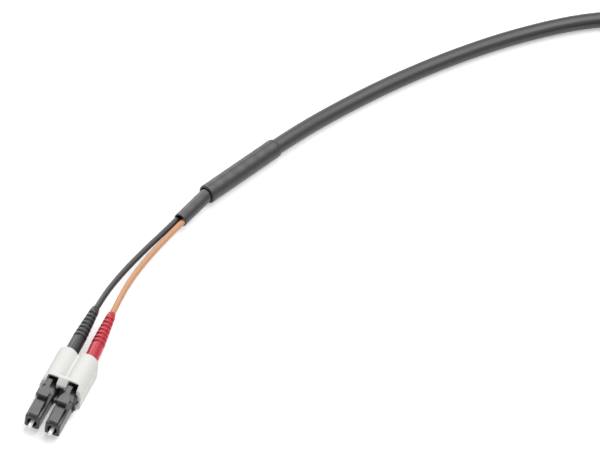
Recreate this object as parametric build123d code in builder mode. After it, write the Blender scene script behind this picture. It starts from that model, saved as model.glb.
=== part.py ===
"""Duplex LC fibre patch cord: two plugs in a clip, two strands, two sleeves and a jacketed cable.

Millimetres. X runs across the two plugs, +Y from the ferrule tips towards the cable, Z is up.
A "station" is a distance behind the front face of the plugs' noses.
"""
import os
from math import cos, pi, radians, sin, tan

from build123d import *

# The pair of plugs
PITCH = 6.25
AXIS_Z = 3.4

# Plug housing
BODY = 4.5
BODY_CORNER = 0.5
HOUSING_LENGTH = 10.2
CAVITY_R = 1.48
CAVITY_DEPTH = 3.0
SHOULDER_LENGTH = 0.8
SHOULDER_R = 1.22
CHAMBER_R = 1.55
NOSE_CHAMFER = 0.25

# Ferrule, flange, fibre and spring
FERRULE_R = 0.6245
FERRULE_REACH = 2.0
FERRULE_SEAT = 1.2
FERRULE_SEAT_R = 0.45
FLANGE_R = 1.35
FLANGE_LENGTH = 1.6
FLANGE_GAP = 0.02
TAIL_R = 0.8
TAIL_LENGTH = 2.8
TAIL_BORE_R = 0.5
FIBRE_R = 0.45
FERRULE_TRAVEL = 0.7
SPRING_WIRE = 0.3
SPRING_R = 1.1
SPRING_TURNS = 5
SPIGOT_REACH = 1.18

# Latch arm
KNUCKLE_R = 0.45
KNUCKLE_STATION = 0.62
KNUCKLE_RISE = 0.4
KNUCKLE_CLEARANCE = 0.05
STRIP_WIDTH = 2.5
STRIP_THICK = 0.6
STRIP_SLOPE = 8.0
EAR_STATION = 6.1
EAR_LENGTH = 1.5
EAR_WIDTH = 3.2
EAR_STEP = 1.5
NECK_WIDTH = 1.36
NECK_STATION = 10.8
NECK_THICK = 0.55
LATCH_LENGTH = 13.3
TIP_LENGTH = 1.3
LATCH_TIP_RISE = 3.65

# Rear body
SPIGOT_CLEARANCE = 0.05
SEAM = 0.2
COLLAR_WIDTH = 5.0
COLLAR_HEIGHT = 4.7
COLLAR_LENGTH = 2.5
COLLAR_CORNER = 1.0
TAB_REACH = 0.58
TAB_HEIGHT = 1.6
BARREL = 4.3
BARREL_LENGTH = 9.1
CRIMP_SPIGOT_R = 1.3
CRIMP_SPIGOT_LENGTH = 4.8
SPIGOT_BORE_R = 0.6
REAR_BORE_R = 0.9

# Crimp sleeve
CRIMP_WALL = 0.33
CRIMP_CLEARANCE = 0.02
CRIMP_LENGTH = 4.2

# Boot
BOOT_R = 2.05
BOOT_TIP_R = 1.45
BOOT_FREE_LENGTH = 21.65
BOOT_BEND_GAP = 1.05
BOOT_BEND_REACH = 0.9
BOOT_INNER_R = 1.75
BOOT_BORE_CLEARANCE = 0.05
RIB_COUNT = 7
RIB_PITCH = 1.75
RIB_GAP = 0.65
RIB_DEPTH = 0.32
CONE_LENGTH = 1.8
CONE_LIP = 0.2
LEAN_A = 0.4
LEAN_B = 3.5

# Duplex clip
CLIP_GAP = 0.9
CLIP_LENGTH = 14.0
CLIP_WIDTH = 12.85
CLIP_FIT = 0.1
HUMP_R = 3.05
ARCH_RISE = 2.0
VALLEY_RISE = 3.2
HOOD_LENGTH = 2.9
RAMP_LENGTH = 1.8
RAMP_FOOT = 3.6
NOTCH_WIDTH = 3.3
HOLLOW_LENGTH = 6.0
SHELL = 0.55
WEB_RECESS_LENGTH = 5.0
WEB_FLOOR = 0.9
WEB_TOP = 2.7
CLIP_SLOT = 2.4
GROOVE_HEIGHT = 0.4
GROOVE_DEPTH = 0.25
BOOT_FIT = 0.15
STEP_GAP = 0.2

# Sleeves
SLEEVE_LIFT = 3.05
SMALL_SLEEVE_R = 2.2
SMALL_SLEEVE_WALL = 0.38
LARGE_SLEEVE_R = 3.05
LARGE_SLEEVE_WALL = 0.53
LARGE_SLEEVE_LENGTH = 31.0
LIP_WALL = 0.65
LIP_LENGTH = 1.4
SLEEVE_OVERLAP = 0.6
SLEEVE_EDGE = 0.4
SMALL_START = (5.8, 72.1)
SMALL_LENGTH = 15.4
SMALL_HEADING = 76.8
LARGE_HEADING = 68.1

# Strands and cable
STRAND_R = 0.9
STRAND_LEAD = 4.2
CABLE_R = 2.5
CABLE_STATION = 20.0
STRAND_TURN_STATION = 3.0
TURN_SHARE = 0.45

# Coil of the length that is put away, and its tie
COIL_CENTRE = (141.3, 202.1)
COIL_OUTER_TURN_R = 30.0
COIL_LEAVE = -11.9
TIE_ANGLE = 35.0
TIE_WIDTH = 6.0
TIE_THICK = 0.6

# Far end
FAR_TURN = 10.0

NOSE_TOP = BODY / 2
CHAMBER_START = CAVITY_DEPTH + SHOULDER_LENGTH
FLANGE_FRONT = CHAMBER_START + FLANGE_GAP
FLANGE_REAR = FLANGE_FRONT + FLANGE_LENGTH
SPIGOT_FRONT = HOUSING_LENGTH - SPIGOT_REACH
COLLAR_FRONT = HOUSING_LENGTH + SEAM
COLLAR_END = COLLAR_FRONT + COLLAR_LENGTH
BARREL_END = COLLAR_END + BARREL_LENGTH
CRIMP_END = BARREL_END + CRIMP_SPIGOT_LENGTH
CRIMP_R = CRIMP_SPIGOT_R + CRIMP_CLEARANCE + CRIMP_WALL
CLIP_FRONT = COLLAR_END + CLIP_GAP
CLIP_END = CLIP_FRONT + CLIP_LENGTH
BOOT_BEND = CLIP_END + BOOT_BEND_GAP
BOOT_END = BOOT_BEND + BOOT_FREE_LENGTH
NOSE_Y = (FERRULE_REACH - BOOT_END) / 2
BOOT_BORE_R = STRAND_R + BOOT_BORE_CLEARANCE
LARGE_SLEEVE_IN = LARGE_SLEEVE_R - LARGE_SLEEVE_WALL

os.makedirs("parts", exist_ok=True)


def across(station):
    """Plane across a plug at a station, its normal towards the cable."""
    return Plane(origin=(0, NOSE_Y + station, AXIS_Z), x_dir=(-1, 0, 0), z_dir=(0, 1, 0))


def along(distance=0.0):
    """Upright plane along a plug's axis: stations by heights above the fibre axis."""
    return Plane(origin=(distance, NOSE_Y, AXIS_Z), x_dir=(0, 1, 0), z_dir=(1, 0, 0))


def heading(degrees_from_x):
    """Level unit vector at an angle from +X."""
    return Vector(cos(radians(degrees_from_x)), sin(radians(degrees_from_x)), 0)


# Plug housing: the square nose that enters the adapter
with BuildPart() as plug_housing:
    with BuildSketch(across(0)):
        RectangleRounded(BODY, BODY, BODY_CORNER)
    extrude(amount=HOUSING_LENGTH)
    nose_rim = plug_housing.faces().sort_by(Axis.Y)[0].edges()
    chamfer(nose_rim, NOSE_CHAMFER)
    with BuildSketch(across(0)):
        Circle(CAVITY_R)
    extrude(amount=CAVITY_DEPTH, mode=Mode.SUBTRACT)
    with BuildSketch(across(0)):
        Circle(SHOULDER_R)
    extrude(amount=CHAMBER_START, mode=Mode.SUBTRACT)
    with BuildSketch(across(CHAMBER_START)):
        Circle(CHAMBER_R)
    extrude(amount=HOUSING_LENGTH - CHAMBER_START, mode=Mode.SUBTRACT)
    with BuildSketch(along(-BODY)):
        with Locations((KNUCKLE_STATION, NOSE_TOP + KNUCKLE_RISE)):
            Circle(KNUCKLE_R + KNUCKLE_CLEARANCE)
    extrude(amount=2 * BODY, mode=Mode.SUBTRACT)

# Latch arm: knuckle, rising strip, eared bell and thumb neck
strip_rise = tan(radians(STRIP_SLOPE))
strip_front = NOSE_TOP + KNUCKLE_RISE + KNUCKLE_R
strip_back = strip_front + (EAR_STATION - KNUCKLE_STATION) * strip_rise
bell_top = strip_back + EAR_STEP
tip_top = NOSE_TOP + LATCH_TIP_RISE
ear_back = EAR_STATION + EAR_LENGTH
with BuildPart() as latch_arm:
    with BuildSketch(along(-EAR_WIDTH)):
        with BuildLine():
            Polyline(
                (KNUCKLE_STATION, strip_front),
                (EAR_STATION, strip_back),
                (EAR_STATION + 0.12, bell_top - 0.35),
                (EAR_STATION + 0.45, bell_top),
                (ear_back + 1.0, bell_top + 0.15),
                (LATCH_LENGTH - TIP_LENGTH, tip_top),
                (LATCH_LENGTH - 0.25, tip_top - 0.05),
                (LATCH_LENGTH, tip_top - 0.3),
                (LATCH_LENGTH, tip_top - NECK_THICK),
                (ear_back + 0.2, bell_top - NECK_THICK - 0.2),
                (ear_back, strip_back - STRIP_THICK + 0.1),
                (EAR_STATION, strip_back - STRIP_THICK),
                (KNUCKLE_STATION + KNUCKLE_R, strip_front - STRIP_THICK + KNUCKLE_R * strip_rise),
                (KNUCKLE_STATION, NOSE_TOP + KNUCKLE_RISE),
                close=True,
            )
        make_face()
        with Locations((KNUCKLE_STATION, NOSE_TOP + KNUCKLE_RISE)):
            Circle(KNUCKLE_R)
    extrude(amount=2 * EAR_WIDTH)
    with BuildSketch(Plane.XY):
        with BuildLine():
            Line((0, NOSE_Y - 1), (STRIP_WIDTH / 2, NOSE_Y - 1))
            Line((STRIP_WIDTH / 2, NOSE_Y - 1), (STRIP_WIDTH / 2, NOSE_Y + EAR_STATION))
            ear_front = (EAR_WIDTH / 2, NOSE_Y + EAR_STATION + 0.35)
            Line((STRIP_WIDTH / 2, NOSE_Y + EAR_STATION), ear_front)
            Line(ear_front, (EAR_WIDTH / 2, NOSE_Y + ear_back))
            Spline(
                (EAR_WIDTH / 2, NOSE_Y + ear_back),
                (NECK_WIDTH / 2, NOSE_Y + NECK_STATION),
                tangents=[(0, 1), (0, 1)],
            )
            Line((NECK_WIDTH / 2, NOSE_Y + NECK_STATION), (NECK_WIDTH / 2, NOSE_Y + LATCH_LENGTH - 0.4))
            TangentArc(
                (NECK_WIDTH / 2, NOSE_Y + LATCH_LENGTH - 0.4),
                (NECK_WIDTH / 2 - 0.4, NOSE_Y + LATCH_LENGTH),
                tangent=(0, 1),
            )
            Line((NECK_WIDTH / 2 - 0.4, NOSE_Y + LATCH_LENGTH), (0, NOSE_Y + LATCH_LENGTH))
            mirror(about=Plane.YZ)
        make_face()
    extrude(amount=2 * AXIS_Z + BODY, mode=Mode.INTERSECT)

# Ceramic ferrule, ground up to its flange, with a thinner end that seats in it
with BuildPart() as ferrule:
    with BuildSketch(across(-FERRULE_REACH)):
        Circle(FERRULE_R)
    extrude(amount=FERRULE_REACH + FLANGE_FRONT)
    with BuildSketch(across(FLANGE_FRONT)):
        Circle(FERRULE_SEAT_R)
    extrude(amount=FERRULE_SEAT)
    tip_rim = ferrule.faces().sort_by(Axis.Y)[0].edges()
    chamfer(tip_rim, 0.2)

# Metal flange that carries the ferrule, with a tail that guides the spring
with BuildPart() as ferrule_flange:
    with BuildSketch(across(FLANGE_FRONT)):
        Circle(FLANGE_R)
    extrude(amount=FLANGE_LENGTH)
    with BuildSketch(across(FLANGE_REAR)):
        Circle(TAIL_R)
    extrude(amount=TAIL_LENGTH)
    with BuildSketch(across(FLANGE_FRONT)):
        Circle(FERRULE_SEAT_R)
    extrude(amount=FERRULE_SEAT, mode=Mode.SUBTRACT)
    with BuildSketch(across(FLANGE_REAR + TAIL_LENGTH - 2.0)):
        Circle(TAIL_BORE_R)
    extrude(amount=2.0, mode=Mode.SUBTRACT)

# Coated fibre from the flange's tail to the strand's jacket
fibre_front = FLANGE_REAR + TAIL_LENGTH - 2.0 + FERRULE_TRAVEL + 0.05
with BuildPart() as fibre:
    with BuildSketch(across(fibre_front)):
        Circle(FIBRE_R)
    extrude(amount=CRIMP_END - fibre_front)

# Compression spring behind the flange
spring_run = SPIGOT_FRONT - FLANGE_REAR - SPRING_WIRE
with BuildPart() as ferrule_spring:
    with BuildLine() as spring_line:
        Helix(
            pitch=spring_run / SPRING_TURNS,
            height=spring_run,
            radius=SPRING_R,
            center=(0, NOSE_Y + FLANGE_REAR + SPRING_WIRE / 2, AXIS_Z),
            direction=(0, 1, 0),
        )
    with BuildSketch(Plane(origin=spring_line.line @ 0, z_dir=spring_line.line % 0)):
        Circle(SPRING_WIRE / 2)
    sweep(is_frenet=True)

# Rear body: spigot in the housing, collar with side tabs, barrel and crimp spigot
with BuildPart() as rear_body:
    with BuildSketch(across(SPIGOT_FRONT)):
        Circle(CHAMBER_R - SPIGOT_CLEARANCE)
    extrude(amount=HOUSING_LENGTH - SPIGOT_FRONT)
    with BuildSketch(across(HOUSING_LENGTH)):
        RectangleRounded(BODY - 2 * SEAM, BODY - 2 * SEAM, BODY_CORNER)
    extrude(amount=SEAM)
    with BuildSketch(across(COLLAR_FRONT)):
        RectangleRounded(COLLAR_WIDTH, COLLAR_HEIGHT, COLLAR_CORNER)
        Rectangle(COLLAR_WIDTH + 2 * TAB_REACH, TAB_HEIGHT)
    extrude(amount=COLLAR_LENGTH)
    with BuildSketch(across(COLLAR_END)):
        RectangleRounded(BARREL, BARREL, COLLAR_CORNER)
    extrude(amount=BARREL_LENGTH)
    with BuildSketch(across(BARREL_END)):
        Circle(CRIMP_SPIGOT_R)
    extrude(amount=CRIMP_SPIGOT_LENGTH)
    with BuildSketch(across(SPIGOT_FRONT)):
        Circle(REAR_BORE_R)
    extrude(amount=BARREL_END - SPIGOT_FRONT, mode=Mode.SUBTRACT)
    with BuildSketch(across(BARREL_END)):
        Circle(SPIGOT_BORE_R)
    extrude(amount=CRIMP_SPIGOT_LENGTH, mode=Mode.SUBTRACT)

# Crimp sleeve that clamps the strand's yarn on the spigot
with BuildPart() as crimp_sleeve:
    with BuildSketch(across(CRIMP_END + 0.2 - CRIMP_LENGTH)):
        Circle(CRIMP_R)
        Circle(CRIMP_SPIGOT_R + CRIMP_CLEARANCE, mode=Mode.SUBTRACT)
    extrude(amount=CRIMP_LENGTH)


def boot(lean):
    """Strain relief boot: straight in the clip, then leaning a few degrees towards -X, to a conical tip."""
    bend_r = BOOT_BEND_REACH / tan(radians(lean / 2))
    bend_start = BOOT_BEND - BOOT_BEND_REACH
    bend_end = Vector(
        -bend_r * (1 - cos(radians(lean))),
        NOSE_Y + bend_start + bend_r * sin(radians(lean)),
        AXIS_Z,
    )
    towards = heading(90 + lean)
    leaning = Plane(origin=bend_end, x_dir=towards, z_dir=heading(lean))
    length = (BOOT_END - BOOT_BEND) / cos(radians(lean)) - BOOT_BEND_REACH
    ribs_end = length - CONE_LENGTH
    ribs_start = ribs_end - RIB_COUNT * RIB_PITCH
    outline = [(0, BOOT_BORE_R), (0, BOOT_R), (ribs_start, BOOT_R)]
    for rib in range(RIB_COUNT):
        radius = BOOT_R + (BOOT_TIP_R - BOOT_R) * rib / (RIB_COUNT - 1)
        groove = ribs_start + rib * RIB_PITCH
        outline += [
            (groove, radius - RIB_DEPTH),
            (groove + RIB_GAP, radius - RIB_DEPTH),
            (groove + RIB_GAP, radius),
            (groove + RIB_PITCH, radius),
        ]
    outline += [(length, BOOT_BORE_R + CONE_LIP), (length, BOOT_BORE_R)]
    with BuildPart() as made:
        with BuildSketch(across(BARREL_END)):
            Circle(BOOT_R)
        extrude(amount=bend_start - BARREL_END)
        with BuildSketch(across(BARREL_END)):
            Circle(BOOT_INNER_R)
        extrude(amount=CRIMP_END + 0.6 - BARREL_END, mode=Mode.SUBTRACT)
        with BuildSketch(across(CRIMP_END)):
            Circle(BOOT_BORE_R)
        extrude(amount=bend_start - CRIMP_END, mode=Mode.SUBTRACT)
        with BuildSketch(across(bend_start)):
            Circle(BOOT_R)
            Circle(BOOT_BORE_R, mode=Mode.SUBTRACT)
        pivot = Axis((-bend_r, NOSE_Y + bend_start, AXIS_Z), (0, 0, 1))
        revolve(axis=pivot, revolution_arc=lean)
        with BuildSketch(leaning):
            with BuildLine():
                Polyline(*outline, close=True)
            make_face()
        revolve(axis=Axis(bend_end, towards))
    return made.part


# Duplex clip: two open-bottomed channels under two humps, and a hood in front with a ramp. The hood is
# open over each plug, and hollow behind the opening, so that the latch's end can be pressed down in it.
half = PITCH / 2 + HUMP_R
hump_top = ARCH_RISE + HUMP_R


def clip_section(station, between):
    """Clip's section at a station: skirt, groove and two arches, filled between them up to a height."""
    with BuildSketch(across(station)) as section:
        with Locations((-PITCH / 2, ARCH_RISE), (PITCH / 2, ARCH_RISE)):
            Circle(HUMP_R)
        with Locations((0, ARCH_RISE - HUMP_R / 2)):
            Rectangle(2 * half, HUMP_R, mode=Mode.SUBTRACT)
        with Locations((0, (ARCH_RISE + between) / 2)):
            Rectangle(PITCH, between - ARCH_RISE)
        with Locations((0, (ARCH_RISE - AXIS_Z) / 2)):
            Rectangle(2 * (half - GROOVE_DEPTH), ARCH_RISE + AXIS_Z)
        with Locations((0, (ARCH_RISE - GROOVE_HEIGHT - AXIS_Z) / 2)):
            Rectangle(CLIP_WIDTH, ARCH_RISE - GROOVE_HEIGHT + AXIS_Z)
    return section.sketch


with BuildPart() as duplex_clip:
    extrude(clip_section(CLIP_FRONT, hump_top), amount=HOOD_LENGTH)
    extrude(clip_section(CLIP_FRONT + HOOD_LENGTH, VALLEY_RISE), amount=CLIP_LENGTH - HOOD_LENGTH)
    with BuildSketch(along(-CLIP_WIDTH)):
        with BuildLine():
            Polyline(
                (CLIP_FRONT, RAMP_FOOT),
                (CLIP_FRONT + RAMP_LENGTH, hump_top),
                (CLIP_FRONT, hump_top),
                close=True,
            )
        make_face()
    extrude(amount=2 * CLIP_WIDTH, mode=Mode.SUBTRACT)
    with BuildSketch(across(CLIP_FRONT)):
        with Locations((-PITCH / 2, 0), (PITCH / 2, 0)):
            RectangleRounded(BARREL + 2 * CLIP_FIT, BARREL + 2 * CLIP_FIT, COLLAR_CORNER)
    extrude(amount=BARREL_END + STEP_GAP - CLIP_FRONT, mode=Mode.SUBTRACT)
    with BuildSketch(across(BARREL_END)):
        with Locations((-PITCH / 2, 0), (PITCH / 2, 0)):
            Circle(BOOT_R + BOOT_FIT)
    extrude(amount=CLIP_END - BARREL_END, mode=Mode.SUBTRACT)
    with BuildSketch(across(CLIP_FRONT)):
        with Locations((-PITCH / 2, -AXIS_Z / 2), (PITCH / 2, -AXIS_Z / 2)):
            Rectangle(CLIP_SLOT, AXIS_Z)
    extrude(amount=CLIP_LENGTH, mode=Mode.SUBTRACT)
    with BuildSketch(across(CLIP_FRONT)):
        with Locations((-PITCH / 2, hump_top / 2), (PITCH / 2, hump_top / 2)):
            Rectangle(NOTCH_WIDTH, hump_top)
    extrude(amount=RAMP_LENGTH, mode=Mode.SUBTRACT)
    hollow_top = hump_top - SHELL
    with BuildSketch(across(CLIP_FRONT)):
        with Locations((-PITCH / 2, hollow_top / 2), (PITCH / 2, hollow_top / 2)):
            Rectangle(NOTCH_WIDTH, hollow_top)
    extrude(amount=HOLLOW_LENGTH, mode=Mode.SUBTRACT)
    web_low = WEB_FLOOR - AXIS_Z
    with BuildSketch(across(CLIP_FRONT)):
        with Locations((0, (web_low + WEB_TOP) / 2)):
            Rectangle(PITCH - BARREL, WEB_TOP - web_low)
    extrude(amount=WEB_RECESS_LENGTH, mode=Mode.SUBTRACT)


def corner_radii(points, cap=None):
    """Largest tangent arcs that the runs allow. cap limits how far an arc reaches along its runs."""
    radii = []
    for before, point, after in zip(points, points[1:], points[2:]):
        half_turn = radians((point - before).get_angle(after - point)) / 2
        reach = TURN_SHARE * min((point - before).length, (after - point).length)
        if cap is not None:
            reach = min(reach, cap)
        radii.append(reach / tan(half_turn))
    return radii


def cord(name, points, radius, cap=None):
    """Round cord along a route, with its radii and its volume against section times length."""
    points = [Vector(*p) for p in points]
    radii = corner_radii(points, cap)
    with BuildPart() as made:
        with BuildLine() as line:
            FilletPolyline(*points, radius=radii)
        route = line.wire()
        with BuildSketch(Plane(origin=route @ 0, z_dir=route % 0)):
            Circle(radius)
        sweep(path=route)
    ratio = made.part.volume / (pi * radius**2 * route.length)
    shown = [round(r) for r in radii]
    print(name, "length", round(route.length, 1), "radii", shown, "volume ratio", round(ratio, 4))
    return made.part


def sleeve(start, direction, length, outer_r, inner_r, lip_r, lip_length):
    """Straight shrink sleeve with an inner lip at its front and a rounded front edge."""
    across_start = Plane(origin=start, x_dir=(0, 0, 1), z_dir=direction)
    with BuildPart() as made:
        with BuildSketch(across_start):
            Circle(outer_r)
        extrude(amount=length)
        front_rim = made.faces().sort_by(Axis(start, direction))[0].edges()
        fillet(front_rim, min(SLEEVE_EDGE, (outer_r - lip_r) * 0.8))
        with BuildSketch(across_start):
            Circle(lip_r)
        extrude(amount=length, mode=Mode.SUBTRACT)
        with BuildSketch(across_start.offset(lip_length)):
            Circle(inner_r)
        extrude(amount=length - lip_length, mode=Mode.SUBTRACT)
    return made.part


# Centre lines of the two sleeves
small_way = heading(SMALL_HEADING)
large_way = heading(LARGE_HEADING)
small_front = Vector(SMALL_START[0], SMALL_START[1], SLEEVE_LIFT)
small_rear = small_front + small_way * SMALL_LENGTH
large_origin = small_rear - small_way * SLEEVE_OVERLAP
large_front = large_origin - large_way * SLEEVE_OVERLAP
large_rear = large_front + large_way * LARGE_SLEEVE_LENGTH
cable_front = large_origin + large_way * CABLE_STATION

small_inner_r = SMALL_SLEEVE_R - SMALL_SLEEVE_WALL
small_sleeve = sleeve(
    small_front, small_way, SMALL_LENGTH, SMALL_SLEEVE_R, small_inner_r, small_inner_r, 0.5
)
large_sleeve = sleeve(
    large_front,
    large_way,
    LARGE_SLEEVE_LENGTH,
    LARGE_SLEEVE_R,
    LARGE_SLEEVE_IN,
    LARGE_SLEEVE_R - LIP_WALL,
    LIP_LENGTH,
)


def strand_points(side, lean, free_points):
    """Route of one strand: out of its boot, free, then beside the other one in the sleeves."""
    plug_x = side * PITCH / 2
    beyond = BOOT_END + STRAND_LEAD - BOOT_BEND
    before_sleeve = small_front - small_way * 5.0
    turn_point = small_rear + small_way * STRAND_TURN_STATION
    left = -side * STRAND_R
    half_turn = (SMALL_HEADING - LARGE_HEADING) / 2
    return [
        (plug_x, NOSE_Y + CRIMP_END, AXIS_Z),
        (plug_x, NOSE_Y + BOOT_BEND, AXIS_Z),
        (plug_x - beyond * tan(radians(lean)), NOSE_Y + BOOT_BEND + beyond, AXIS_Z),
        *free_points,
        before_sleeve + heading(SMALL_HEADING + 90) * left,
        turn_point + heading(SMALL_HEADING - half_turn + 90) * (left / cos(radians(half_turn))),
        cable_front + heading(LARGE_HEADING + 90) * left + strand_drift,
    ]


drift_length = (SLEEVE_OVERLAP + STRAND_TURN_STATION) * sin(radians(SMALL_HEADING - LARGE_HEADING))
strand_drift = heading(LARGE_HEADING + 90) * drift_length

strand_a = cord(
    "strand_a",
    strand_points(-1, LEAN_A, [(-1.9, 42.5, 3.2), (0.65, 55.0, 3.1)]),
    STRAND_R,
    STRAND_TURN_STATION,
)
strand_b = cord(
    "strand_b",
    strand_points(1, LEAN_B, [(1.55, 42.5, 3.2), (3.15, 55.0, 3.1)]),
    STRAND_R,
    STRAND_TURN_STATION,
)

# Cable from the large sleeve across the view and on to the coil
centre_x, centre_y = COIL_CENTRE
cable_exit = large_origin + large_way * 38.0
cable = cord(
    "cable",
    [
        cable_front,
        cable_exit,
        (32.3, 140.6, CABLE_R),
        (43.4, 160.2, CABLE_R),
        (56.6, 180.0, CABLE_R),
        (71.6, 198.9, CABLE_R),
        (89.0, 216.3, CABLE_R),
        (106.1, 226.6, CABLE_R),
        (centre_x - 16.0, centre_y + COIL_OUTER_TURN_R, CABLE_R),
        (centre_x, centre_y + COIL_OUTER_TURN_R, CABLE_R),
    ],
    CABLE_R,
)

# Coil: one solid of the turns' outer shape, open where the cable joins and leaves its outer turns
coil_out_r = COIL_OUTER_TURN_R + CABLE_R
coil_mid_r = COIL_OUTER_TURN_R - CABLE_R
coil_in_r = COIL_OUTER_TURN_R - 3 * CABLE_R
tie_sweep = TIE_WIDTH / COIL_OUTER_TURN_R * 180 / pi
coil_axis = Axis((centre_x, centre_y, 0), (0, 0, 1))


def coil_plane(angle):
    """Upright plane through the coil's axis: distance from the axis by height."""
    return Plane(origin=(centre_x, centre_y, 0), x_dir=heading(angle), z_dir=heading(angle - 90))


def ring_sector(angle, sweep_angle, corner_low, corner_high):
    """Cut a sector of a square ring out of the part, anticlockwise from an angle."""
    width = corner_high[0] - corner_low[0]
    height = corner_high[1] - corner_low[1]
    with BuildSketch(coil_plane(angle)) as profile:
        with Locations((corner_low[0] + width / 2, corner_low[1] + height / 2)):
            Rectangle(width, height)
    revolve(profile.sketch, axis=coil_axis, revolution_arc=sweep_angle, mode=Mode.SUBTRACT)


with BuildPart() as cable_coil:
    with BuildSketch(coil_plane(0)):
        with Locations(((coil_in_r + coil_out_r) / 2, 2 * CABLE_R)):
            RectangleRounded(4 * CABLE_R, 4 * CABLE_R, 0.8 * CABLE_R)
    revolve(axis=coil_axis)
    ring_sector(90, 42, (coil_mid_r - 0.1, -1), (coil_out_r + 1, 2 * CABLE_R + 0.1))
    top_gap = (coil_mid_r, 2 * CABLE_R), (coil_out_r + 1, 4 * CABLE_R + 1)
    ring_sector(110, 250 + COIL_LEAVE, *top_gap)
    ring_sector(TIE_ANGLE, tie_sweep, (coil_in_r - 1, -1), (coil_out_r + 1, TIE_THICK))

# Tie around the coil, let into its underside
with BuildPart() as coil_tie:
    with BuildSketch(coil_plane(TIE_ANGLE)):
        with Locations(((coil_in_r + coil_out_r) / 2, (4 * CABLE_R + TIE_THICK) / 2)):
            RectangleRounded(4 * CABLE_R + 2 * TIE_THICK, 4 * CABLE_R + TIE_THICK, 1.0)
        with Locations(((coil_in_r + coil_out_r) / 2, 2 * CABLE_R + TIE_THICK / 2)):
            Rectangle(4 * CABLE_R, 4 * CABLE_R - TIE_THICK, mode=Mode.SUBTRACT)
    revolve(axis=coil_axis, revolution_arc=tie_sweep)

# Cable from the coil's top turn down to the far sleeve, and where that sets the far end
leave_point = Vector(centre_x, centre_y, 3 * CABLE_R) + heading(COIL_LEAVE) * COIL_OUTER_TURN_R
leave_way = heading(COIL_LEAVE - 90)
level_end = leave_point + leave_way * 20.0
slope_end = level_end + leave_way * 20.0 + Vector(0, 0, SLEEVE_LIFT - 3 * CABLE_R)
far_cable_front = slope_end + leave_way * 20.0
cable_far = cord("cable_far", [leave_point, level_end, slope_end, far_cable_front], CABLE_R)

turned_front = Vector(
    cable_front.X * cos(radians(FAR_TURN)) - cable_front.Y * sin(radians(FAR_TURN)),
    cable_front.X * sin(radians(FAR_TURN)) + cable_front.Y * cos(radians(FAR_TURN)),
    0,
)
far_x = far_cable_front.X - turned_front.X
far_y = far_cable_front.Y - turned_front.Y
far_place = Location((far_x, far_y, 0), (0, 0, FAR_TURN))

# Nodes of each end: two plugs, the clip, the strands and the sleeves
near_end = {}
for letter, side, lean in (("a", -1, LEAN_A), ("b", 1, LEAN_B)):
    plug_place = Location((side * PITCH / 2, 0, 0))
    near_end[f"plug_housing_{letter}"] = plug_housing.part.moved(plug_place)
    near_end[f"latch_arm_{letter}"] = latch_arm.part.moved(plug_place)
    near_end[f"ferrule_{letter}"] = ferrule.part.moved(plug_place)
    near_end[f"ferrule_flange_{letter}"] = ferrule_flange.part.moved(plug_place)
    near_end[f"ferrule_spring_{letter}"] = ferrule_spring.part.moved(plug_place)
    near_end[f"fibre_{letter}"] = fibre.part.moved(plug_place)
    near_end[f"rear_body_{letter}"] = rear_body.part.moved(plug_place)
    near_end[f"crimp_sleeve_{letter}"] = crimp_sleeve.part.moved(plug_place)
    near_end[f"boot_{letter}"] = boot(lean).moved(plug_place)
near_end["duplex_clip"] = duplex_clip.part
near_end["strand_a"] = strand_a
near_end["strand_b"] = strand_b
near_end["small_sleeve"] = small_sleeve
near_end["large_sleeve"] = large_sleeve

nodes = dict(near_end)
for name, part in near_end.items():
    nodes[f"far_{name}"] = part.moved(far_place)
nodes["cable"] = cable
nodes["cable_coil"] = cable_coil.part
nodes["coil_tie"] = coil_tie.part
nodes["cable_far"] = cable_far

for name, part in nodes.items():
    part.label = name
    export_step(part, f"parts/{name}.step")

print("nodes", len(nodes))
print("far end at", round(far_x, 4), round(far_y, 4), "turned", FAR_TURN)
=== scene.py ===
# %% [markdown]
# # A duplex fibre patch cord
# Two small plugs sit side by side in a white clip. Behind them two thin strands run through a pair of
# shrink sleeves into one round black cable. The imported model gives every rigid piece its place, and this
# file gives the cords their soft line and every surface its finish.

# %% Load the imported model
from math import cos, pi, radians, sin, tan

import bmesh
import bpy
from mathutils import Matrix, Vector


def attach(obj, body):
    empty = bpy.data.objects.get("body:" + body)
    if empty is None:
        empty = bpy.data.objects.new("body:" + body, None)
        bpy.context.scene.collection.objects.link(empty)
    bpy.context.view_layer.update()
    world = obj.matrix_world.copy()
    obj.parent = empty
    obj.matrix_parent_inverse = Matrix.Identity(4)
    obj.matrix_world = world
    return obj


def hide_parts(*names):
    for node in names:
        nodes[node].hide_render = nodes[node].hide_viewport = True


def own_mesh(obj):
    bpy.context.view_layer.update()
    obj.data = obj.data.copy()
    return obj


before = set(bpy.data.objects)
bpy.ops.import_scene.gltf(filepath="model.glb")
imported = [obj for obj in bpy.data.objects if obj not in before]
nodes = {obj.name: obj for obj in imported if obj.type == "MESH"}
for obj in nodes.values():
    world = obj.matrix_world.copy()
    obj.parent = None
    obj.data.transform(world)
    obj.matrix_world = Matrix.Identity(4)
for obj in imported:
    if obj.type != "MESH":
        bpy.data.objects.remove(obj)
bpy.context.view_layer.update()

ROOT = "cord_set"

# %% [markdown]
# ## The camera
# The plugs' known sizes give the photograph's viewpoint: a long lens, high on the tip side, turned a little
# to the right and rolled. It looks from where the fit puts it at the middle of the picture, so that the
# lens needs no shift and the other views stay centred.

# %% Camera
MM = 0.001
PICTURE_WIDTH, PICTURE_HEIGHT = 600, 450
VIEW_AZIMUTH, VIEW_ELEVATION, VIEW_ROLL = radians(15.6), radians(46.7), radians(8.4)
VIEW_DISTANCE = 1500 * MM
SENSOR_WIDTH = 36
PIXELS_PER_MM = 3.441
ORIGIN_PIXEL = 72.1, 378.8

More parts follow.
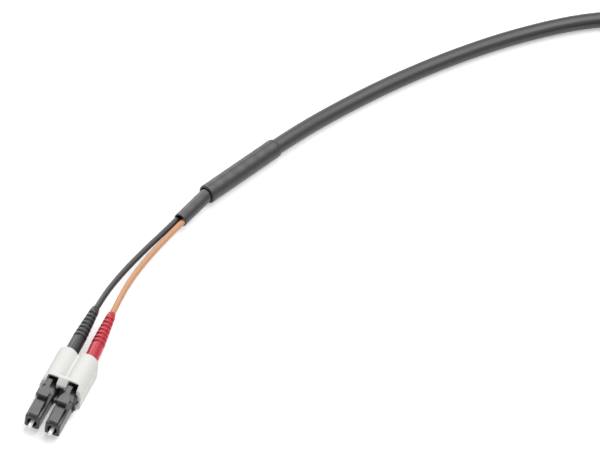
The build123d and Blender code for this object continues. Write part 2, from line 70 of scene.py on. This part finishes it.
towards = Vector((
    sin(VIEW_AZIMUTH) * cos(VIEW_ELEVATION),
    -cos(VIEW_AZIMUTH) * cos(VIEW_ELEVATION),
    sin(VIEW_ELEVATION),
))
level_right = Vector((cos(VIEW_AZIMUTH), sin(VIEW_AZIMUTH), 0))
level_up = towards.cross(level_right)
picture_right = level_right * cos(VIEW_ROLL) + level_up * sin(VIEW_ROLL)
picture_up = level_up * cos(VIEW_ROLL) - level_right * sin(VIEW_ROLL)
middle = (
    picture_right * (PICTURE_WIDTH / 2 - ORIGIN_PIXEL[0])
    + picture_up * (ORIGIN_PIXEL[1] - PICTURE_HEIGHT / 2)
) / PIXELS_PER_MM * MM

camera = bpy.data.objects.new("camera", bpy.data.cameras.new("camera"))
bpy.context.collection.objects.link(camera)
eye = towards * VIEW_DISTANCE
back = (eye - middle).normalized()
right = picture_up.cross(back).normalized()
facing = Matrix((right, back.cross(right), back)).transposed().to_4x4()
camera.matrix_world = Matrix.Translation(eye) @ facing
camera.data.sensor_width = SENSOR_WIDTH
camera.data.lens = PIXELS_PER_MM * VIEW_DISTANCE / MM * SENSOR_WIDTH / PICTURE_WIDTH
camera.data.clip_start, camera.data.clip_end = 0.05, 20
bpy.context.scene.camera = camera
print("lens", round(camera.data.lens, 1), "mm at", [round(v, 3) for v in eye])

# %% [markdown]
# ## The cords
# A cord is one smooth line with a round section. A curve object with a bevel is the plainest way to make
# it: its control points are the route that the solid follows, and a quadratic spline rounds every turn
# without a single corner. Blender adds each point's own radius to the object's box, so the points hold the
# real radius and the bevel stays at 1. The strands come first, then the cable, which runs through its coil.

# %% Where things lie along the cord, in millimetres
PITCH, AXIS_Z, NOSE_Y = 6.25, 3.4, -24.25
CRIMP_STATION, BEND_STATION, BOOT_STATION = 26.8, 28.85, 50.5
STRAND_MM, CABLE_MM = 1.8, 5.0
SLEEVE_LIFT = 3.05
SMALL_HEADING, LARGE_HEADING = 76.8, 68.1
SMALL_SLEEVE_LENGTH, LARGE_SLEEVE_LENGTH = 15.4, 31.0
SLEEVE_OVERLAP = 0.6
CABLE_STATION, CABLE_FREE_STATION = 20, 38
STRAND_LEAD, SLEEVE_LEAD, STRAND_TURN_STATION = 4.2, 5, 3


def heading(degrees_from_x):
    """Level unit vector at an angle from +X."""
    return Vector((cos(radians(degrees_from_x)), sin(radians(degrees_from_x)), 0))


small_front = Vector((5.8, 72.1, SLEEVE_LIFT))
small_rear = small_front + heading(SMALL_HEADING) * SMALL_SLEEVE_LENGTH
large_origin = small_rear - heading(SMALL_HEADING) * SLEEVE_OVERLAP
large_front = large_origin - heading(LARGE_HEADING) * SLEEVE_OVERLAP
cable_front = large_origin + heading(LARGE_HEADING) * CABLE_STATION


def strand_route(side, lean, free_points):
    """A strand's route out of its boot, free for a stretch, then beside the other one in the sleeves."""
    plug_x = side * PITCH / 2
    beyond = BOOT_STATION + STRAND_LEAD - BEND_STATION
    left = -side * STRAND_MM / 2
    half_turn = (SMALL_HEADING - LARGE_HEADING) / 2
    turn_point = small_rear + heading(SMALL_HEADING) * STRAND_TURN_STATION
    drift_length = (SLEEVE_OVERLAP + STRAND_TURN_STATION) * sin(radians(2 * half_turn))
    drift = heading(LARGE_HEADING + 90) * drift_length
    return [
        Vector((plug_x, NOSE_Y + CRIMP_STATION, AXIS_Z)),
        Vector((plug_x, NOSE_Y + BEND_STATION, AXIS_Z)),
        Vector((plug_x - beyond * tan(radians(lean)), NOSE_Y + BEND_STATION + beyond, AXIS_Z)),
        *[Vector(point) for point in free_points],
        small_front - heading(SMALL_HEADING) * SLEEVE_LEAD + heading(SMALL_HEADING + 90) * left,
        turn_point + heading(SMALL_HEADING - half_turn + 90) * (left / cos(radians(half_turn))),
        cable_front + heading(LARGE_HEADING + 90) * left + drift,
    ]


strand_points = {
    "strand_a": strand_route(-1, 0.4, [(-1.9, 42.5, 3.2), (0.65, 55.0, 3.1)]),
    "strand_b": strand_route(1, 3.5, [(1.55, 42.5, 3.2), (3.15, 55.0, 3.1)]),
}

# %% [markdown]
# The coil is wound as a person would do it: one turn on the table, one inside it, one on top of that, and
# a last quarter on top of the first, so that the cable leaves on the outside. A loop works the turns out:
# the angle runs on, and the radius and the height step from one place to the next.

# %% The cable's route, coil and all
COIL_CENTRE = Vector((141.3, 202.1, 0))
OUTER_TURN, INNER_TURN = 30.0, 25.0
LOW_TURN, HIGH_TURN = 2.5, 7.5
COIL_LEAVE = -11.9
LEAVE_RUN = 20
POINTS_A_TURN = 18
WOUND = 3 * 360 + 90 - COIL_LEAVE


def step(angle, start, end):
    """0 before start, 1 after end, and a smooth rise between them."""
    share = min(max((angle - start) / (end - start), 0), 1)
    return share * share * (3 - 2 * share)


coil_steps = int(WOUND / 360 * POINTS_A_TURN)
corner_cut = (1 + cos(pi / POINTS_A_TURN)) / 2
coil_points = []
for number in range(1, coil_steps):
    wound = WOUND * number / coil_steps
    radius = OUTER_TURN - (OUTER_TURN - INNER_TURN) * (step(wound, 250, 320) - step(wound, 970, 1040))
    height = LOW_TURN + (HIGH_TURN - LOW_TURN) * step(wound, 600, 680)
    spot = COIL_CENTRE + heading(90 - wound) * (radius / corner_cut)
    coil_points.append(Vector((spot.x, spot.y, height)))

leave_point = COIL_CENTRE + heading(COIL_LEAVE) * OUTER_TURN + Vector((0, 0, HIGH_TURN))
leave_way = heading(COIL_LEAVE - 90)
level_end = leave_point + leave_way * LEAVE_RUN
slope_end = level_end + leave_way * LEAVE_RUN + Vector((0, 0, SLEEVE_LIFT - HIGH_TURN))
far_cable_front = slope_end + leave_way * LEAVE_RUN
cable_points = [
    cable_front,
    large_origin + heading(LARGE_HEADING) * CABLE_FREE_STATION,
    Vector((32.3, 140.6, LOW_TURN)),
    Vector((43.4, 160.2, LOW_TURN)),
    Vector((56.6, 180.0, LOW_TURN)),
    Vector((71.6, 198.9, LOW_TURN)),
    Vector((89.0, 216.3, LOW_TURN)),
    Vector((106.1, 226.6, LOW_TURN)),
    COIL_CENTRE + Vector((-16, OUTER_TURN, LOW_TURN)),
    COIL_CENTRE + Vector((0, OUTER_TURN, LOW_TURN)),
    *coil_points,
    leave_point,
    level_end,
    slope_end,
    far_cable_front,
]
print("cable points", len(cable_points), "of which in the coil", len(coil_points))

# %% [markdown]
# The far end is the near end again, turned ten degrees and set down where the cable comes out of the coil.
# One matrix does that for every point.

# %% Place of the far end
FAR_TURN = 10
turn = Matrix.Rotation(radians(FAR_TURN), 4, "Z")
far_move = far_cable_front - turn @ cable_front
far_place = Matrix.Translation(Vector((far_move.x, far_move.y, 0))) @ turn
for letter in "ab":
    near_points = strand_points[f"strand_{letter}"]
    strand_points[f"far_strand_{letter}"] = [far_place @ point for point in near_points]


def cord_curve(name, points, diameter):
    """A round cord along a route in millimetres, on one smooth spline."""
    curve = bpy.data.curves.new(name, "CURVE")
    curve.dimensions = "3D"
    spline = curve.splines.new("NURBS")
    spline.points.add(len(points) - 1)
    for spline_point, point in zip(spline.points, points):
        spline_point.co = (*(point * MM), 1)
        spline_point.radius = diameter / 2 * MM
    spline.order_u = 3
    spline.use_endpoint_u = True
    spline.resolution_u = 8
    curve.bevel_depth = 1.0
    curve.bevel_resolution = 5
    curve.use_fill_caps = True
    cord = bpy.data.objects.new(name, curve)
    bpy.context.collection.objects.link(cord)
    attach(cord, ROOT)
    return cord


cords = {}
for name, points in strand_points.items():
    cords[name] = cord_curve(f"{name}_line", points, STRAND_MM)
    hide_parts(name)
cords["cable"] = cord_curve("cable_line", cable_points, CABLE_MM)
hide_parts("cable", "cable_coil", "cable_far")
print("cords", sorted(cords))

# %% [markdown]
# ## Shrink sleeves
# A shrink sleeve starts as a wide soft tube. Heat pulls it onto what it covers, so its front lip turns in
# with a round shoulder, its rear edge thins out on the cable, and its skin keeps faint waves. Each one is
# turned from an outline of distances and radii, which is how such a tube is drawn on paper, and a
# subdivision surface rounds what is left of the corners.

# %% Turned sleeves
TURNED_STEPS = 40
UP = Vector((0, 0, 1))
WAVE_LENGTH_MM, WAVE_HEIGHT_MM = 4.7, 0.025
SHOULDER_STEPS = 6


def turned(name, start, degrees, outline, place):
    """A closed ring of quads, turned from an outline in millimetres about a level axis."""
    axis = heading(degrees)
    side = UP.cross(axis)
    form = bmesh.new()
    rings = []
    for distance, radius in outline:
        ring = []
        for number in range(TURNED_STEPS):
            angle = 2 * pi * number / TURNED_STEPS
            spot = start + axis * distance + (side * cos(angle) + UP * sin(angle)) * radius
            ring.append(form.verts.new((place @ spot) * MM))
        rings.append(ring)
    for ring, following in zip(rings, rings[1:] + rings[:1]):
        for number in range(TURNED_STEPS):
            after = (number + 1) % TURNED_STEPS
            form.faces.new((ring[number], ring[after], following[after], following[number]))
    bmesh.ops.recalc_face_normals(form, faces=form.faces)
    mesh = bpy.data.meshes.new(name)
    form.to_mesh(mesh)
    form.free()
    mesh.shade_smooth()
    piece = bpy.data.objects.new(name, mesh)
    bpy.context.collection.objects.link(piece)
    piece.modifiers.new("rounding", "SUBSURF").render_levels = 1
    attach(piece, ROOT)
    return piece


def sleeve_outline(length, radius, shoulder, inner_front, inner, rear_radius, rear_run):
    """Round shoulder, waved skin and thin rear edge outside, then the bore back to the front."""
    outline = []
    for number in range(SHOULDER_STEPS + 1):
        angle = pi / 2 * number / SHOULDER_STEPS
        outline.append((shoulder * (1 - cos(angle)), radius - shoulder * (1 - sin(angle))))
    runs = int((length - shoulder - rear_run) / (WAVE_LENGTH_MM / 4))
    for number in range(1, runs + 1):
        distance = shoulder + (length - shoulder - rear_run) * number / runs
        wave = WAVE_HEIGHT_MM * (sin(2 * pi * distance / WAVE_LENGTH_MM) - 1)
        outline.append((distance, radius + wave))
    outline += [
        (length - rear_run * 0.6, (radius * 2 + rear_radius) / 3),
        (length - rear_run * 0.15, rear_radius),
        (length, rear_radius - 0.08),
        (length, inner),
        (length * 0.5, inner),
        (shoulder * 1.6, inner),
        (shoulder, inner_front),
        (0, inner_front),
    ]
    return outline


small_outline = sleeve_outline(
    SMALL_SLEEVE_LENGTH,
    radius=2.2,
    shoulder=0.34,
    inner_front=1.84,
    inner=1.83,
    rear_radius=2.16,
    rear_run=0.8,
)
large_outline = sleeve_outline(
    LARGE_SLEEVE_LENGTH,
    radius=3.05,
    shoulder=0.62,
    inner_front=2.42,
    inner=2.53,
    rear_radius=2.96,
    rear_run=0.6,
)
sleeve_forms = {
    "small_sleeve": (small_front, SMALL_HEADING, small_outline),
    "large_sleeve": (large_front, LARGE_HEADING, large_outline),
}
sleeves = {}
for name, (start, degrees, outline) in sleeve_forms.items():
    for full_name, place in ((name, Matrix.Identity(4)), (f"far_{name}", far_place)):
        sleeves[full_name] = turned(f"{full_name}_skin", start, degrees, outline, place)
        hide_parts(full_name)
print("sleeves", sorted(sleeves))

# %% [markdown]
# ## What hangs on what
# The near strands end in the cable. The cable carries the far end's sleeves and the tie, and each far strand
# carries its far plug, the black one the clip as well. For each far strand, a list gathers the pieces that
# it carries.

PLUG_PIECES = (
    "plug_housing",
    "latch_arm",
    "ferrule",
    "ferrule_flange",
    "ferrule_spring",
    "fibre",
    "rear_body",
    "crimp_sleeve",
    "boot",
)


for letter in "ab":
    carried = [nodes[f"far_{piece}_{letter}"] for piece in PLUG_PIECES]
    if letter == "a":
        carried.append(nodes["far_duplex_clip"])

# %% [markdown]
# ## Springs
# A ferrule gives way 0.7 mm when it meets another one in the adapter. Its spring stands on the plug's rear
# body and leans on the ferrule's flange. Here each spring only gets a mesh of its own, at both ends of the
# cord.

# %% Springs with meshes of their own
for letter, side in (("a", -1), ("b", 1)):
    for prefix, place in (("", Matrix.Identity(4)), ("far_", far_place)):
        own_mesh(nodes[f"{prefix}ferrule_spring_{letter}"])

# %% [markdown]
# ## Floor, world and lamps
# The photograph is a cut-out on white. The floor and the world are therefore white to the camera, in
# reflections and through anything clear, but pale to plain light, so that the background's white never
# comes from more light on the object. The floor still takes a soft shadow. A broad soft box hangs behind
# and above, where level tops and the backs of round cords mirror it to the camera. A smaller one on the
# left draws the light line on the boots' left side. The front lamp fills the white clip's front. It is
# hidden from reflections, because it stands on the camera's side.

# %% Helpers for shaders
def linear(hex_colour):
    """Scene colour of an sRGB hex value, with alpha."""
    channels = [int(hex_colour[i:i + 2], 16) / 255 for i in (1, 3, 5)]
    return (*[c / 12.92 if c <= 0.04045 else ((c + 0.055) / 1.055) ** 2.4 for c in channels], 1)


def add_node(tree, kind, inputs=None, **settings):
    """Adds one shader node. Its inputs are values, or (node, output) pairs that are linked."""
    node = tree.nodes.new(kind)
    for name, value in settings.items():
        setattr(node, name, value)
    for name, value in (inputs or {}).items():
        if isinstance(value, tuple) and isinstance(value[0], bpy.types.Node):
            tree.links.new(value[0].outputs[value[1]], node.inputs[name])
        else:
            node.inputs[name].default_value = value
    return node


def new_tree(name):
    """An empty material with its node tree."""
    material = bpy.data.materials.new(name)
    material.use_nodes = True
    material.node_tree.nodes.clear()
    return material, material.node_tree


# %% White floor with a soft shadow
FLOOR_HALF_WIDTH, FLOOR_MIDDLE = 3, (0.09, 0.11, -0.0001)
FLOOR_GLOW = 0.35


def background_rays(tree):
    """1 for rays from the camera, from reflections and through anything clear, and 0 for plain light."""
    path = add_node(tree, "ShaderNodeLightPath")
    clear = add_node(tree, "ShaderNodeMath", {
        0: (path, "Is Camera Ray"),
        1: (path, "Is Transmission Ray"),
    }, operation="MAXIMUM")
    return add_node(tree, "ShaderNodeMath", {
        0: (clear, 0),
        1: (path, "Is Glossy Ray"),
    }, operation="MAXIMUM")


floor_material, tree = new_tree("white_paper_floor")
seen = background_rays(tree)
paper = add_node(tree, "ShaderNodeBsdfDiffuse", {"Color": linear("#e8e8e8")})
bright = add_node(tree, "ShaderNodeBsdfDiffuse", {"Color": linear("#ffffff")})
glow = add_node(tree, "ShaderNodeEmission", {"Color": linear("#ffffff"), "Strength": FLOOR_GLOW})
lit = add_node(tree, "ShaderNodeAddShader", {0: (bright, 0), 1: (glow, 0)})
mix = add_node(tree, "ShaderNodeMixShader", {0: (seen, 0), 1: (paper, 0), 2: (lit, 0)})
add_node(tree, "ShaderNodeOutputMaterial", {"Surface": (mix, 0)})

mesh = bpy.data.meshes.new("floor")
grid = bmesh.new()
bmesh.ops.create_grid(grid, x_segments=1, y_segments=1, size=FLOOR_HALF_WIDTH)
grid.to_mesh(mesh)
grid.free()
floor = bpy.data.objects.new("floor", mesh)
floor.location = FLOOR_MIDDLE
bpy.context.collection.objects.link(floor)
mesh.materials.append(floor_material)
print("floor", FLOOR_HALF_WIDTH * 2, "m wide")

# %% World: plain weak light, white to the camera, in reflections and through anything clear
WORLD_FILL = 0.14
world = bpy.data.worlds.new("studio")
bpy.context.scene.world = world
world.use_nodes = True
tree = world.node_tree
tree.nodes.clear()
seen = background_rays(tree)
fill = add_node(tree, "ShaderNodeBackground", {"Color": linear("#ffffff"), "Strength": WORLD_FILL})
white = add_node(tree, "ShaderNodeBackground", {"Color": linear("#ffffff"), "Strength": 1.0})
mix = add_node(tree, "ShaderNodeMixShader", {0: (seen, 0), 1: (fill, 0), 2: (white, 0)})
add_node(tree, "ShaderNodeOutputWorld", {"Surface": (mix, 0)})
bpy.context.scene.view_settings.view_transform = "Standard"
print("world fill", WORLD_FILL)

# %% Lamps
LAMP_TARGET = Vector((0.05, 0.08, 0))


def lamp(name, way, distance, width, height, radiance):
    """A soft box that faces the cord from a direction, with its width level. Returns its object."""
    light = bpy.data.lights.new(name, "AREA")
    light.shape = "RECTANGLE"
    light.size, light.size_y = width, height
    light.energy = radiance * pi * width * height
    holder = bpy.data.objects.new(name, light)
    bpy.context.collection.objects.link(holder)
    out = way.normalized()
    side = UP.cross(out).normalized()
    place = Matrix((side, out.cross(side), out)).transposed().to_4x4()
    holder.matrix_world = Matrix.Translation(LAMP_TARGET + out * distance) @ place
    print(name, "lamp at", [round(v, 2) for v in holder.location], "W", round(light.energy, 1))
    return holder


lamp("key", Vector((0.15, 0.3, 0.94)), distance=1.0, width=1.4, height=0.7, radiance=3.3)
lamp("left", Vector((-0.66, 0.6, 0.45)), distance=1.0, width=0.5, height=0.5, radiance=4.0)
front = lamp("front", Vector((0.2, -0.92, 0.33)), distance=1.2, width=1.0, height=0.8, radiance=2.1)
front.visible_glossy = False

# %% [markdown]
# ## Finishes
# Each finish is a small graph: one principled shader, a texture in millimetres for the grain's bump, and a
# second slow texture that keeps the gloss from being the same everywhere. Real grain is finer than a pixel
# here, so every plastic's grain is drawn coarser than it is.


# %% Moulded and extruded plastics share one graph
MOTTLE_SPREAD = 14


def plastic(name, colour, roughness, grain_mm, grain_height, mottle=0.04, ior=1.5):
    """A plastic with fine grain. grain_height is the bump's depth as a share of the grain's size, and mottle
    says how far the gloss wanders to each side of its roughness."""
    material, tree = new_tree(name)
    place = add_node(tree, "ShaderNodeTexCoord")
    grain = add_node(tree, "ShaderNodeTexNoise", {
        "Vector": (place, "Object"),
        "Scale": 1000 / grain_mm,
        "Detail": 3.0,
    })
    slow = add_node(tree, "ShaderNodeTexNoise", {
        "Vector": (place, "Object"),
        "Scale": 1000 / (grain_mm * MOTTLE_SPREAD),
        "Detail": 2.0,
    })
    gloss = add_node(tree, "ShaderNodeMapRange", {
        "Value": (slow, "Fac"),
        "From Min": 0.3,
        "From Max": 0.7,
        "To Min": roughness - mottle,
        "To Max": roughness + mottle,
    })
    bump = add_node(tree, "ShaderNodeBump", {
        "Height": (grain, "Fac"),
        "Distance": grain_mm * grain_height * MM,
        "Strength": 1.0,
    })
    shader = add_node(tree, "ShaderNodeBsdfPrincipled", {
        "Base Color": linear(colour),
        "Roughness": (gloss, 0),
        "IOR": ior,
        "Normal": (bump, 0),
    })
    add_node(tree, "ShaderNodeOutputMaterial", {"Surface": (shader, 0)})
    return material


def dress(material, *names):
    """Gives a finish to CAD nodes, at both ends of the cord, or to cords."""
    for name in names:
        for full_name in (name, f"far_{name}"):
            for piece in (nodes.get(full_name), cords.get(full_name), sleeves.get(full_name)):
                if piece is not None:
                    piece.data.materials.clear()
                    piece.data.materials.append(material)
    print(material.name, "on", ", ".join(names))


# %% [markdown]
# No moulded edge is quite sharp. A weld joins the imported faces, a bevel rounds what turns by more than 35
# degrees, and weighted normals keep the flats flat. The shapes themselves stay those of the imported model.

# %% Soft moulded edges
BEVEL_FROM = radians(35)
PLUG_EDGE, BOOT_EDGE, FERRULE_EDGE, CLIP_EDGE = 0.1, 0.12, 0.06, 0.22


def soften(width_mm, *names):
    """Rounds the sharp edges of rigid pieces at both ends of the cord."""
    for name in names:
        for piece in (nodes[name], nodes[f"far_{name}"]):
            piece.modifiers.new("joined", "WELD").merge_threshold = 0.001 * MM
            bevel = piece.modifiers.new("edges", "BEVEL")
            bevel.width = width_mm * MM
            bevel.segments = 2
            bevel.angle_limit = BEVEL_FROM
            piece.modifiers.new("shading", "WEIGHTED_NORMAL")
    print("edges", width_mm, "mm on", ", ".join(names))


for letter in "ab":
    soften(PLUG_EDGE, f"plug_housing_{letter}", f"latch_arm_{letter}", f"rear_body_{letter}")
    soften(BOOT_EDGE, f"boot_{letter}")
    soften(FERRULE_EDGE, f"ferrule_{letter}")
soften(CLIP_EDGE, "duplex_clip")

# %% [markdown]
# Plug noses, latches and rear bodies are glass-filled PBT, moulded in a spark-eroded tool. That gives a
# satin black with a broad soft highlight. The real grain is about 0.03 mm, too fine to see here, so it is
# drawn at 0.15 mm.

# %% Black moulded plugs
black_pbt = plastic(
    "black_pbt_moulded",
    "#1d1d1f",
    roughness=0.3,
    grain_mm=0.15,
    grain_height=0.05,
    ior=1.6,
)
for letter in "ab":
    dress(black_pbt, f"plug_housing_{letter}", f"latch_arm_{letter}", f"rear_body_{letter}")

# %% [markdown]
# The clip is unfilled white PBT or nylon. It is a little warm and half matt, and its edges look soft.

# %% White moulded clip
white_clip = plastic(
    "white_nylon_moulded",
    "#e4e4e0",
    roughness=0.5,
    grain_mm=0.2,
    grain_height=0.03,
    ior=1.53,
)
dress(white_clip, "duplex_clip")

# %% [markdown]
# Boots are a soft TPE. One is black and one red, so that the two fibres are told apart. The surface is
# between satin and matt, and the red keeps its colour in the shade.

# %% Soft boots
black_tpe = plastic(
    "black_tpe_moulded",
    "#1b1b1d",
    roughness=0.36,
    grain_mm=0.25,
    grain_height=0.05,
)
red_tpe = plastic(
    "red_tpe_moulded",
    "#c01230",
    roughness=0.36,
    grain_mm=0.25,
    grain_height=0.05,
)
dress(black_tpe, "boot_a")
dress(red_tpe, "boot_b")

# %% [markdown]
# The strands' jackets are extruded low-smoke compound, smooth and slightly waxy. Orange is the usual
# colour of the multimode strand here.

# %% Strand jackets
black_jacket = plastic(
    "black_strand_extruded",
    "#222224",
    roughness=0.36,
    grain_mm=0.3,
    grain_height=0.03,
)
orange_jacket = plastic(
    "orange_strand_extruded",
    "#cf986d",
    roughness=0.4,
    grain_mm=0.3,
    grain_height=0.03,
)
dress(black_jacket, "strand_a")
dress(orange_jacket, "strand_b")

# %% [markdown]
# Shrink sleeves are polyolefin. Heat pulls them tight, and leaves a satin skin with faint waves.

# %% Shrink sleeves
shrink = plastic(
    "black_polyolefin_shrunk",
    "#161618",
    roughness=0.33,
    grain_mm=0.8,
    grain_height=0.012,
    ior=1.6,
)
dress(shrink, "small_sleeve", "large_sleeve")

# %% [markdown]
# The cable's jacket is extruded PUR: near black, with a clear long highlight. Its printed line is left off.

# %% Cable jacket
jacket = plastic(
    "black_pur_extruded",
    "#18181b",
    roughness=0.33,
    grain_mm=0.9,
    grain_height=0.012,
    ior=1.6,
)
dress(jacket, "cable")

# %% [markdown]
# Inside and at the tips are hard pieces: the zirconia ferrule is ground and polished, its flange is turned
# nickel silver, the spring is drawn steel wire and the crimp sleeve is plated brass.


# %% Ferrule and metal pieces
MARK_DEPTH = 0.03


def metal(name, colour, roughness, mark_mm):
    """A plated, drawn or turned metal with fine tool marks, MARK_DEPTH of their own size deep."""
    material, tree = new_tree(name)
    place = add_node(tree, "ShaderNodeTexCoord")
    marks = add_node(tree, "ShaderNodeTexNoise", {
        "Vector": (place, "Object"),
        "Scale": 1000 / mark_mm,
        "Detail": 2.0,
    })
    bump = add_node(tree, "ShaderNodeBump", {
        "Height": (marks, "Fac"),
        "Distance": mark_mm * MARK_DEPTH * MM,
    })
    shader = add_node(tree, "ShaderNodeBsdfPrincipled", {
        "Base Color": linear(colour),
        "Metallic": 1.0,
        "Roughness": roughness,
        "Normal": (bump, 0),
    })
    add_node(tree, "ShaderNodeOutputMaterial", {"Surface": (shader, 0)})
    return material


zirconia = plastic(
    "white_zirconia_polished",
    "#fbfaf7",
    roughness=0.12,
    grain_mm=0.1,
    grain_height=0.01,
    mottle=0.02,
    ior=2.1,
)
nickel_silver = metal("nickel_silver_turned", "#c9c3b6", roughness=0.25, mark_mm=0.08)
spring_wire = metal("steel_wire_drawn", "#b9b9bb", roughness=0.3, mark_mm=0.06)
plated_brass = metal("nickel_plated_brass", "#c4c4c2", roughness=0.28, mark_mm=0.1)
buffer = plastic(
    "fibre_buffer_extruded",
    "#efeee6",
    roughness=0.35,
    grain_mm=0.2,
    grain_height=0.03,
)
for letter in "ab":
    dress(zirconia, f"ferrule_{letter}")
    dress(nickel_silver, f"ferrule_flange_{letter}")
    dress(spring_wire, f"ferrule_spring_{letter}")
    dress(plated_brass, f"crimp_sleeve_{letter}")
    dress(buffer, f"fibre_{letter}")

# %% [markdown]
# The tie is a strip of hook-and-loop tape, woven nylon with a napped face. A checker of bumps at thread
# spacing gives the weave.

# %% Woven tie
tie_tape, tree = new_tree("black_nylon_woven")
place = add_node(tree, "ShaderNodeTexCoord")
THREAD_MM, THREAD_HEIGHT_MM = 0.5, 0.1
weave = add_node(tree, "ShaderNodeTexChecker", {"Vector": (place, "Object"), "Scale": 1000 / THREAD_MM})
bump = add_node(tree, "ShaderNodeBump", {"Height": (weave, "Fac"), "Distance": THREAD_HEIGHT_MM * MM})
shader = add_node(tree, "ShaderNodeBsdfPrincipled", {
    "Base Color": linear("#1f1f22"),
    "Roughness": 0.85,
    "Sheen Weight": 0.4,
    "Normal": (bump, 0),
})
add_node(tree, "ShaderNodeOutputMaterial", {"Surface": (shader, 0)})
dress(tie_tape, "coil_tie")

# %% [markdown]
# ## Close
# A new curve has no box of its own until the view layer has been worked out once, so it is worked out here.

# %% Work out the view layer
bpy.context.view_layer.update()
